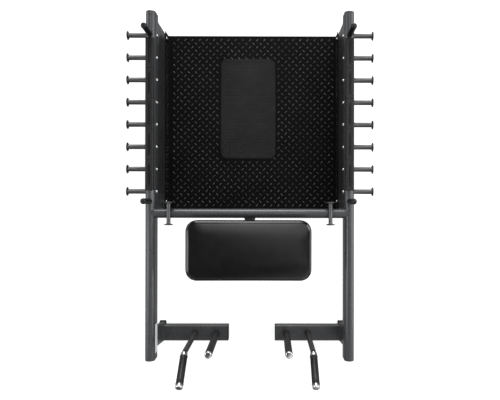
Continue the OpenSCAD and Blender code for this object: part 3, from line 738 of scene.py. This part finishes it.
def grip_profile(r, length):
    """Moulded sleeve: a beaded lip at each end and shallow finger rings near the lips."""
    pts = [(BAR_HOLE, 0.0), (r, 0.0), (r, 0.0045), (r - 0.0011, 0.0055)]
    radii = [0, 0.0012, 0.0012, 0.0006]
    for z in RING_INSETS + tuple(length - inset for inset in reversed(RING_INSETS)):
        pts += [(r - 0.0011, z - 0.0008), (r - 0.0019, z), (r - 0.0011, z + 0.0008)]
        radii += [0.0004, 0.0004, 0.0004]
    pts += [(r - 0.0011, length - 0.0055), (r, length - 0.0045), (r, length), (BAR_HOLE, length)]
    radii += [0.0006, 0.0012, 0.0012, 0]
    return fillet(pts, radii, 2)


def cap_profile():
    """Domed end cap with a small step where it meets the sleeve."""
    step = CAP_R - 0.0008
    return fillet([
        (BAR_HOLE, 0.0), (step, 0.0), (step, 0.002), (CAP_R, 0.003), (CAP_R, CAP_LENGTH),
        (AXIS_R, CAP_LENGTH)],
        [0, 0.0004, 0.0004, 0.0006, 0.0045, 0], 5)


def build_handles():
    caps = Shape()
    collars = solids("grip_collars")
    ends = solids("handle_end_caps")
    for name, side in (("left", -1), ("right", 1)):
        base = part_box(f"{name}_outer_handle")
        collar = middle([b for b in collars if b[0].x * side > 0][0])
        end = middle(min((b for b in ends if b[0].x * side > 0), key=lambda b: b[0].y))
        run = (end - collar).normalized()
        bend = collar - run * COLLAR_TO_BEND
        foot = Vector((bend.x, bend.y, base[0].z))

        # Riser bent into the slope with a soft bend
        bend_in, bend_out = bend - Z * BEND_REACH, bend + run * BEND_REACH
        steps = 10
        path = [foot, foot + Z * 0.05, foot + Z * 0.15]
        for k in range(steps + 1):
            t = k / steps
            path.append(bend_in * (1 - t) ** 2 + bend * 2 * t * (1 - t) + bend_out * t ** 2)
        path += [bend + run * 0.06, end]
        s = Shape()
        s.sweep(path, BAR_R, 28)
        s.piece(f"{name}_bent_riser", "black_paint", stands_for=(f"{name}_outer_handle",))

        s = Shape()
        start = collar + run * COLLAR_HALF
        cap_start = end - run * CAP_OVERLAP
        s.lathe(grip_profile(GRIP_R, (cap_start - start).length), along(run, start), 36)
        s.piece(f"{name}_outer_grip_sleeve", "rubber", stands_for=(f"{name}_outer_grip",))
        caps.lathe(cap_profile(), along(run, cap_start), 32)

        lo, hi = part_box(f"{name}_inner_grip")
        c = (lo + hi) / 2
        s = Shape()
        s.lathe(grip_profile((hi.x - lo.x) / 2, hi.z - lo.z), Matrix.Translation((c.x, c.y, lo.z)), 36)
        s.piece(f"{name}_inner_grip_sleeve", "rubber", stands_for=(f"{name}_inner_grip",))
        caps.lathe(cap_profile(), Matrix.Translation((c.x, c.y, hi.z)), 32)
    caps.piece("domed_handle_caps", "chrome", stands_for=("handle_end_caps",))


# ---------------------------------------------------------------- weld beads

BEAD_STEP = 0.0016
RIPPLE_PITCH = 0.0042
REAR_LEG_TOP = 0.121  # depth of a rear leg's top, front to back
CROSSBAR_R = 0.02415


def dense(points, closed, step=BEAD_STEP):
    """The outline with points about a step apart."""
    out = []
    pts = [Vector(p) for p in points]
    pairs = list(zip(pts, pts[1:] + (pts[:1] if closed else [])))
    for a, b in pairs[: len(pts) if closed else len(pts) - 1]:
        n = max(1, round((b - a).length / step))
        out += [a.lerp(b, k / n) for k in range(n)]
    if not closed:
        out.append(pts[-1])
    return out


def bead(s, points, closed=True, r=0.0026):
    """A rippled weld along the points."""
    path = dense(points, closed)
    turn = 2 * math.pi * BEAD_STEP / RIPPLE_PITCH
    ripple = [r * (1.0 + 0.16 * math.sin(turn * k)) for k in range(len(path))]
    s.sweep(path, ripple, 8, closed)


def build_welds():
    s = Shape()
    rail_lo, rail_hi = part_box("right_rail")
    rail_r = (rail_hi.x - rail_lo.x) / 2
    rail_x = (rail_lo.x + rail_hi.x) / 2
    belly = rail_lo.z + rail_r

    def rail_under(x):
        return belly - math.sqrt(max(rail_r ** 2 - (x - rail_x) ** 2, 0))

    bar_lo, bar_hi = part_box("crossbar")
    bar_mid = (bar_lo + bar_hi) / 2
    bar_r = (bar_hi.z - bar_lo.z) / 2
    for name, side in (("left", -1), ("right", 1)):
        # Each leg under its rail, all the way round its top
        for leg in ("front", "mid", "rear"):
            lo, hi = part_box(f"{name}_{leg}_leg")
            x0, x1 = (lo.x, hi.x) if side > 0 else (-hi.x, -lo.x)
            y0, y1 = lo.y, hi.y
            if leg == "rear":
                y0 = hi.y - REAR_LEG_TOP
            across = [x0 + (x1 - x0) * k / 14 for k in range(15)]
            loop = [(side * x, y1, rail_under(x)) for x in across]
            loop += [(side * x, y0, rail_under(x)) for x in reversed(across)]
            bead(s, loop)

        # Crossbar into the rail
        loop = []
        for k in range(48):
            a = 2 * math.pi * k / 48
            z = bar_mid.z + bar_r * math.sin(a)
            over = max(z - (rail_hi.z - rail_r), 0)
            x = rail_x - math.sqrt(rail_r ** 2 - over ** 2)
            loop.append((side * x, bar_mid.y + bar_r * math.cos(a), z))
        bead(s, loop)

        # Foot beam into the rear leg
        lo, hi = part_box(f"{name}_foot_beam")
        c = (lo + hi) / 2
        edge = hi.x if side > 0 else lo.x
        outline = round_rect(hi.y - lo.y, hi.z - lo.z, 0.008, 5)
        bead(s, [(edge, c.y + a, c.z + b) for a, b in outline])

        # Band anchors onto the crossbar
        lo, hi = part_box(f"{name}_band_anchor")
        span = [-0.0085 + 0.017 * k / 8 for k in range(9)]
        for e in (-1, 1):
            x = (lo.x + hi.x) / 2 + e * 0.0062
            arc = [(v, math.sqrt(CROSSBAR_R ** 2 - v * v)) for v in span]
            bead(s, [(x, bar_mid.y + v, bar_mid.z + up - 0.0006) for v, up in arc], False, 0.0022)

    # Pad support arm onto the crossbar
    lo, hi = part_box("pad_support_arm")
    outline = []
    for z in (lo.z, hi.z):
        y = bar_mid.y - math.sqrt(max(bar_r ** 2 - (z - bar_mid.z) ** 2, 0))
        row = [(lo.x + (hi.x - lo.x) * k / 8, y, z) for k in range(9)]
        outline += row if z == lo.z else row[::-1]
    bead(s, outline)
    s.piece("weld_beads", "frame_paint", crease=70)


# ---------------------------------------------------------------- back pad

CUSHION_CORNER = 0.056
CUSHION_EDGE = 0.014
# Added to the solid's width and depth for the fabric, and how far its top starts below the solid's
CUSHION_GROW = (0.004, 0.006)
CUSHION_DROP = 0.003
CUSHION_SHIFT = (-0.003, -0.002)
VOXEL = 0.005
SWELL_CAP = 0.0035
SWELL_FRAMES = 20
HELD_HEIGHT = 0.007
EVEN_PASSES = 120
SEAM_HEIGHT, SEAM_WIDTH, SEAM_DEPTH = 0.013, 0.0032, 0.0022
SEAM_CORNER = 0.060


def cushion_rings(w, d, r, low, top, edge):
    prof = fillet([(0.004, low), (0.0, low), (0.0, top), (edge * 2.2, top)], [0, 0.003, edge, 0], 6)
    rings = []
    for inset, z in prof:
        rings.append([(x, y, z) for x, y in round_rect(w - 2 * inset, d - 2 * inset, r - inset * 0.8, 10)])
    return rings


def build_cushion():
    lo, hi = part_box("pad_cushion")
    c = (lo + hi) / 2
    w, d = hi.x - lo.x + CUSHION_GROW[0], hi.y - lo.y + CUSHION_GROW[1]
    rings = cushion_rings(w, d, CUSHION_CORNER, lo.z, hi.z - CUSHION_DROP, CUSHION_EDGE)
    s = Shape()
    s.loft(rings, Matrix.Translation((c.x + CUSHION_SHIFT[0], c.y + CUSHION_SHIFT[1], 0)))
    obj = s.piece("back_cushion", "vinyl", body="back_pad", stands_for=("pad_cushion",), crease=180)
    remesh(obj)
    inflate(obj, lo.z, SWELL_CAP)
    sew_seam(obj, lo, hi)
    sub = obj.modifiers.new("smooth", "SUBSURF")
    sub.levels = sub.render_levels = 1


def remesh(obj):
    """Replaces the mesh by an even one of small faces, slightly relaxed."""
    voxels = obj.modifiers.new("voxels", "REMESH")
    voxels.mode = "VOXEL"
    voxels.voxel_size = VOXEL
    voxels.use_smooth_shade = True
    relax = obj.modifiers.new("relax", "SMOOTH")
    relax.factor = 0.5
    relax.iterations = 6
    graph = bpy.context.evaluated_depsgraph_get()
    mesh = bpy.data.meshes.new_from_object(obj.evaluated_get(graph))
    obj.modifiers.clear()
    obj.data = mesh
    mesh.shade_smooth()


def points_of(mesh):
    co = np.zeros(len(mesh.vertices) * 3)
    mesh.vertices.foreach_get("co", co)
    return co.reshape(-1, 3)


def inflate(obj, floor_z, cap):
    """Blows the cushion up as cloth, held at its base, and limits how far any point moves."""
    before = points_of(obj.data)
    hold = obj.vertex_groups.new(name="held")
    hold.add([int(i) for i in np.nonzero(before[:, 2] < floor_z + HELD_HEIGHT)[0]], 1.0, "ADD")
    cloth = obj.modifiers.new("cloth", "CLOTH")
    st = cloth.settings
    st.quality = 6
    st.mass = 0.4
    st.tension_stiffness = st.compression_stiffness = 25
    st.shear_stiffness = 10
    st.bending_stiffness = 2.0
    st.use_pressure = True
    st.uniform_pressure_force = 4.0
    st.effector_weights.gravity = 0.0
    st.vertex_group_mass = "held"
    cloth.collision_settings.use_collision = False
    cloth.point_cache.frame_start, cloth.point_cache.frame_end = 1, SWELL_FRAMES
    SCENE.frame_start, SCENE.frame_end = 1, SWELL_FRAMES
    for f in range(1, SWELL_FRAMES + 1):
        SCENE.frame_set(f)
    graph = bpy.context.evaluated_depsgraph_get()
    after = points_of(obj.evaluated_get(graph).to_mesh())
    obj.modifiers.remove(cloth)
    SCENE.frame_set(1)
    move = after - before
    far = np.linalg.norm(move, axis=1, keepdims=True)
    move *= cap * np.tanh(far / cap) / np.maximum(far, 1e-9)
    move = even_out(obj.data, move, EVEN_PASSES)
    obj.data.vertices.foreach_set("co", (before + move).ravel())
    obj.data.update()


def even_out(mesh, move, passes):
    """Averages a movement with that of each point's neighbours, which takes small ripples out."""
    ends = np.zeros(len(mesh.edges) * 2, dtype=np.int32)
    mesh.edges.foreach_get("vertices", ends)
    a, b = ends.reshape(-1, 2).T
    n = len(move)
    degree = np.maximum(np.bincount(a, minlength=n) + np.bincount(b, minlength=n), 1)[:, None]
    for _ in range(passes):
        near = [np.bincount(a, move[b, k], n) + np.bincount(b, move[a, k], n) for k in range(3)]
        move = 0.5 * move + 0.5 * np.stack(near, 1) / degree
    return move


def sew_seam(obj, lo, hi):
    """Draws the side in along a sewn seam low on it, and keeps the base flat."""
    co = points_of(obj.data)
    c = (lo + hi) / 2
    r = SEAM_CORNER
    past_x = np.abs(co[:, 0] - c.x) - ((hi.x - lo.x) / 2 - r)
    past_y = np.abs(co[:, 1] - c.y) - ((hi.y - lo.y) / 2 - r)
    qx, qy = np.maximum(past_x, 0), np.maximum(past_y, 0)
    reach = np.hypot(qx, qy) + np.minimum(np.maximum(past_x, past_y), 0)
    rim = np.clip((reach - (r - 0.022)) / 0.012, 0, 1)
    seam = np.exp(-((co[:, 2] - (lo.z + SEAM_HEIGHT)) / SEAM_WIDTH) ** 2) * rim
    out = np.stack([np.sign(co[:, 0] - c.x) * qx, np.sign(co[:, 1] - c.y) * qy, np.zeros(len(co))], 1)
    out /= np.maximum(np.linalg.norm(out, axis=1, keepdims=True), 1e-6)
    co -= out * (SEAM_DEPTH * seam)[:, None]
    co[:, 2] = np.clip(co[:, 2], lo.z + 0.0001, hi.z + 0.004)
    obj.data.vertices.foreach_set("co", co.ravel())
    obj.data.update()


COVER_T = 0.0014
CORNER_DROP = 0.0006  # the margin lies thicker under the corners, where it's gathered
STAPLE_HALF = 0.005
STAPLE_WIRE_R = 0.0005
STAPLE_PITCH = 0.026


def build_pad_cover():
    """Margin of the cover, folded round the board and stapled under it."""
    lo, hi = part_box("pad_board")
    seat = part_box("pad_cushion")[0].z
    c = (lo + hi) / 2
    w, d, r = hi.x - lo.x, hi.y - lo.y, CUSHION_CORNER
    under = lo.z - COVER_T
    prof = fillet([
        (-0.004, seat + 0.004), (-0.0022, seat - 0.001), (-0.0016, under), (0.024, under),
        (0.0245, lo.z + 0.0002), (0.001, lo.z + 0.0004), (-0.0004, seat + 0.002)],
        [0, 0.002, 0.0022, 0.0005, 0.0004, 0, 0], 4)
    rings = []
    for inset, z in prof:
        ring = []
        outline = round_rect(w - 2 * inset, d - 2 * inset, max(r - inset, 0.012), 14)
        for x, y in outline:
            corner = abs(x) > w / 2 - r and abs(y) > d / 2 - r
            drop = CORNER_DROP if corner and inset > 0.002 and z < lo.z else 0.0
            ring.append((x, y, z - drop))
        rings.append(ring)
    s = Shape()
    s.loft(rings, Matrix.Translation((c.x, c.y, 0)), loop=True)
    s.piece("cover_margin", "vinyl", body="back_pad", crease=50)

    s = Shape()
    track = round_rect(w - 0.030, d - 0.030, r - 0.015, 14)
    track = dense([(x, y, 0) for x, y in track], True, STAPLE_PITCH)
    # Half a staple as (distance from its middle, height), from its leg's tip to its crown
    half = ((STAPLE_HALF, 0.002), (STAPLE_HALF, -0.0003), (STAPLE_HALF - 0.0006, -0.0006))
    outline = [(-u, v) for u, v in half] + list(reversed(half))
    for k, p in enumerate(track):
        ahead = (track[(k + 1) % len(track)] - p).normalized()
        mid = Vector((c.x + p.x, c.y + p.y, under))
        s.sweep([mid + ahead * u + Z * v for u, v in outline], STAPLE_WIRE_R, 6)
    s.piece("cover_staples", "steel", body="back_pad", crease=50)


# ---------------------------------------------------------------- studio

BASE_LIGHT = 0.07
# Soft patches of light round the scene: direction, cosines of the angles where each patch starts and is
# full, and its strength
GLOWS = (
    ((0.09, 0.18, 0.98), 0.947, 0.984, 1.15),
    ((-0.03, 0.175, 0.98), 0.989, 0.9985, 1.4),
    ((0.0, 0.0, -1.0), 0.0, 0.7, 0.24),
    ((-0.08, 0.95, 0.27), 0.945, 0.985, 7.0),
    ((0.1, 1.0, 0.10), 0.80, 0.98, 0.5),
    ((1.0, 0.1, 0.30), 0.80, 0.97, 1.1),
    ((-1.0, 0.2, 0.35), 0.80, 0.97, 0.5),
    ((0.344, -0.541, 0.768), 0.86, 0.97, 0.8),
    ((-0.55, -0.60, 0.58), 0.84, 0.95, 0.5),
    ((0.5, -1.0, 0.25), 0.80, 0.98, 0.6),
)
# Name, place, aim, (width, height) and watts of each area light
SOFTBOXES = (
    ("key", (3.0, 0.9, 3.6), (0, 0, 0.2), (1.6, 2.4), 60),
    ("front", (0.2, 3.6, 3.0), (0, 0, 0.2), (3.2, 1.0), 55),
    ("fill", (-3.0, -0.8, 3.4), (0, 0, 0.2), (1.2, 2.4), 30),
    ("right_side", (4.2, 0.9, 1.3), (0, 0.9, 0.2), (5.5, 2.0), 80),
    ("left_side", (-4.2, 0.9, 1.3), (0, 0.9, 0.2), (5.5, 2.0), 70),
    ("front_strip", (-0.22, 2.4, 4.2), (-0.4, 0.9, 0.4), (0.14, 1.6), 4),
)
FLOOR_HALF = 14.0
CAMERA_PLACE = (0.0992, -0.0392, 2.8904)
CAMERA_TURN = (0.0039, -0.0045, 0.0015)
CAMERA_SHIFT = (-0.0432, -0.003)
CAMERA_LENS = 36.0


def build_world():
    SCENE.view_settings.view_transform = "Standard"
    SCENE.view_settings.look = "None"

    world = bpy.data.worlds.new("studio")
    SCENE.world = world
    world.use_nodes = True
    t = world.node_tree
    t.nodes.clear()

    def node(kind, **settings):
        n = t.nodes.new("ShaderNode" + kind)
        for key, value in settings.items():
            setattr(n, key, value)
        return n

    ray = node("TexCoord").outputs["Generated"]

    def glow(direction, lo, hi, amount):
        d = node("VectorMath", operation="DOT_PRODUCT")
        t.links.new(ray, d.inputs[0])
        d.inputs[1].default_value = Vector(direction).normalized()
        m = node("MapRange", interpolation_type="SMOOTHSTEP", clamp=True)
        for key, v in zip(("From Min", "From Max", "To Min", "To Max"), (lo, hi, 0.0, amount)):
            m.inputs[key].default_value = v
        t.links.new(d.outputs["Value"], m.inputs["Value"])
        return m.outputs[0]

    # The first sum starts from the base light, and each later one from the sum before it
    total = None
    for patch in GLOWS:
        add = node("Math", operation="ADD")
        t.links.new(glow(*patch), add.inputs[0])
        add.inputs[1].default_value = BASE_LIGHT
        if total is not None:
            t.links.new(total, add.inputs[1])
        total = add.outputs[0]
    back = node("Background")
    t.links.new(total, back.inputs["Color"])
    back.inputs["Strength"].default_value = 1.0

    # The eye sees a plain pale room in place of the patches of light
    room = node("Background")
    room.inputs["Color"].default_value = (0.90, 0.90, 0.90, 1)
    room.inputs["Strength"].default_value = 1.0
    swap = node("MixShader")
    t.links.new(node("LightPath").outputs["Is Camera Ray"], swap.inputs[0])
    t.links.new(back.outputs[0], swap.inputs[1])
    t.links.new(room.outputs[0], swap.inputs[2])
    out = node("OutputWorld")
    t.links.new(swap.outputs[0], out.inputs[0])


def build_floor():
    """A pale floor just under the feet, which the object's own gloss doesn't show."""
    floor_mesh = bpy.data.meshes.new("floor")
    corners = [(x * FLOOR_HALF, y * FLOOR_HALF, 0) for x, y in ((-1, -1), (1, -1), (1, 1), (-1, 1))]
    floor_mesh.from_pydata(corners, [], [(0, 1, 2, 3)])
    floor = bpy.data.objects.new("floor", floor_mesh)
    floor.location.z = -0.0008
    SCENE.collection.objects.link(floor)
    p = Paint("floor", (0.50, 0.50, 0.50), 0.9, Specular_IOR_Level=0.0)
    p.tint(p.remap(p.noise(1.2, 3), 0.4, 0.6, 0.0, 0.3), (0.49, 0.49, 0.495))
    p.bsdf.inputs["Emission Color"].default_value = (1, 1, 1, 1)
    p.bsdf.inputs["Emission Strength"].default_value = 0.72
    floor_mesh.materials.append(p.mat)
    floor.visible_glossy = floor.visible_diffuse = False


def build_lamps():
    for name, place, target, size, power in SOFTBOXES:
        data = bpy.data.lights.new(name, "AREA")
        data.shape = "RECTANGLE"
        data.size, data.size_y = size
        data.energy = power
        lamp = bpy.data.objects.new(name, data)
        lamp.location = place
        lamp.rotation_euler = (Vector(target) - Vector(place)).to_track_quat("-Z", "Y").to_euler()
        lamp.visible_camera = False
        SCENE.collection.objects.link(lamp)


def build_camera():
    """Straight above the object, looking down."""
    cam_data = bpy.data.cameras.new("camera")
    cam_data.sensor_width = 36.0
    cam_data.lens = CAMERA_LENS
    cam_data.shift_x, cam_data.shift_y = CAMERA_SHIFT
    cam_data.clip_start, cam_data.clip_end = 0.05, 60.0
    cam = bpy.data.objects.new("camera", cam_data)
    cam.location = CAMERA_PLACE
    cam.rotation_euler = CAMERA_TURN
    SCENE.collection.objects.link(cam)
    SCENE.camera = cam


build_world()
build_floor()
build_lamps()
build_camera()
finish_kept_nodes()
build_lugs()
build_mat()
build_pegs()
build_bolts()
build_posts()
build_anchors()
build_handles()
build_welds()
build_cushion()
build_pad_cover()
